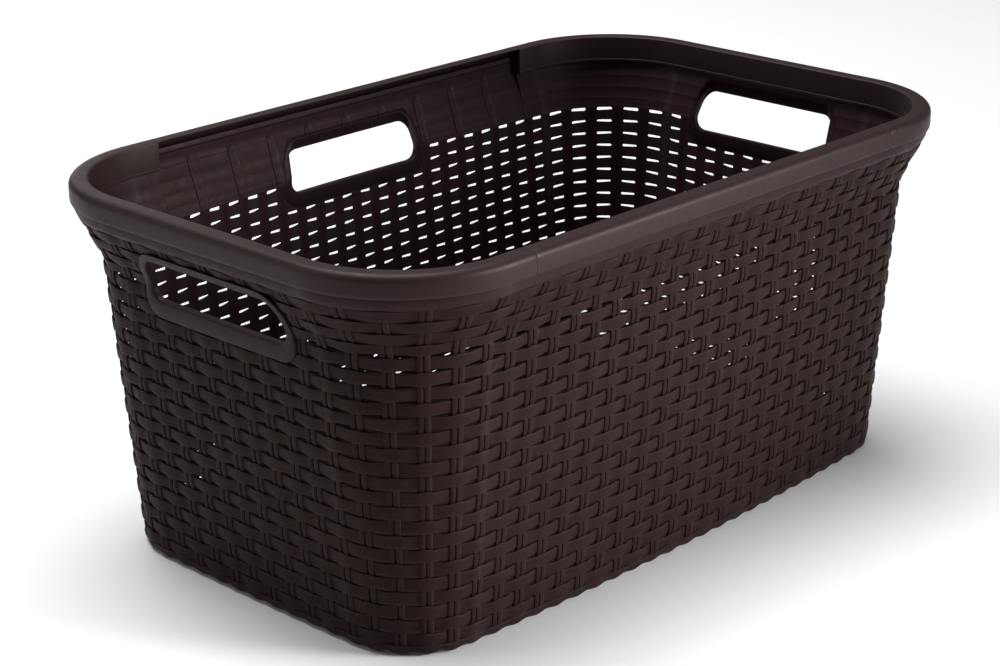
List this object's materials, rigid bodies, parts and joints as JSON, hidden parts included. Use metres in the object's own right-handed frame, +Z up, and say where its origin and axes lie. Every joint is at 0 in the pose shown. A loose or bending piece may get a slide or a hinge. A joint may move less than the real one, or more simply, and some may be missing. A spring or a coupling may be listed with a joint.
{
  "type": "laundry basket",
  "caption": "Tall-sided oblong laundry basket with an imitation cane weave, a broad smooth rim and grip openings in both ends and the back wall.",
  "frame": {"origin": "on the floor, under the centre of the basket", "axes": "+X along the basket, +Y to the long wall that has a grip opening, +Z up"},
  "size_m": [0.589, 0.367, 0.2648],
  "materials": {
    "weave_plastic": "satin espresso brown, fine lengthwise grain on the strands",
    "smooth_plastic": "smooth satin espresso brown with a faint fine grain",
    "base_plastic": "matte espresso brown"
  },
  "bodies": {
    "root": {"base_panel": "base_plastic", "front_weave": "weave_plastic", "back_weave": "weave_plastic", "left_weave": "weave_plastic", "right_weave": "weave_plastic", "front_left_corner_weave": "weave_plastic", "back_left_corner_weave": "weave_plastic", "front_right_corner_weave": "weave_plastic", "back_right_corner_weave": "weave_plastic", "front_band": "weave_plastic", "back_band": "weave_plastic", "left_band": "weave_plastic", "right_band": "weave_plastic", "front_left_corner_band": "weave_plastic", "back_left_corner_band": "weave_plastic", "front_right_corner_band": "weave_plastic", "back_right_corner_band": "weave_plastic", "back_handle_collar": "smooth_plastic", "left_handle_collar": "smooth_plastic", "right_handle_collar": "smooth_plastic", "front_rim_rail": "smooth_plastic", "back_rim_rail": "smooth_plastic", "left_rim_bow": "smooth_plastic", "right_rim_bow": "smooth_plastic"}
  },
  "joints": []
}
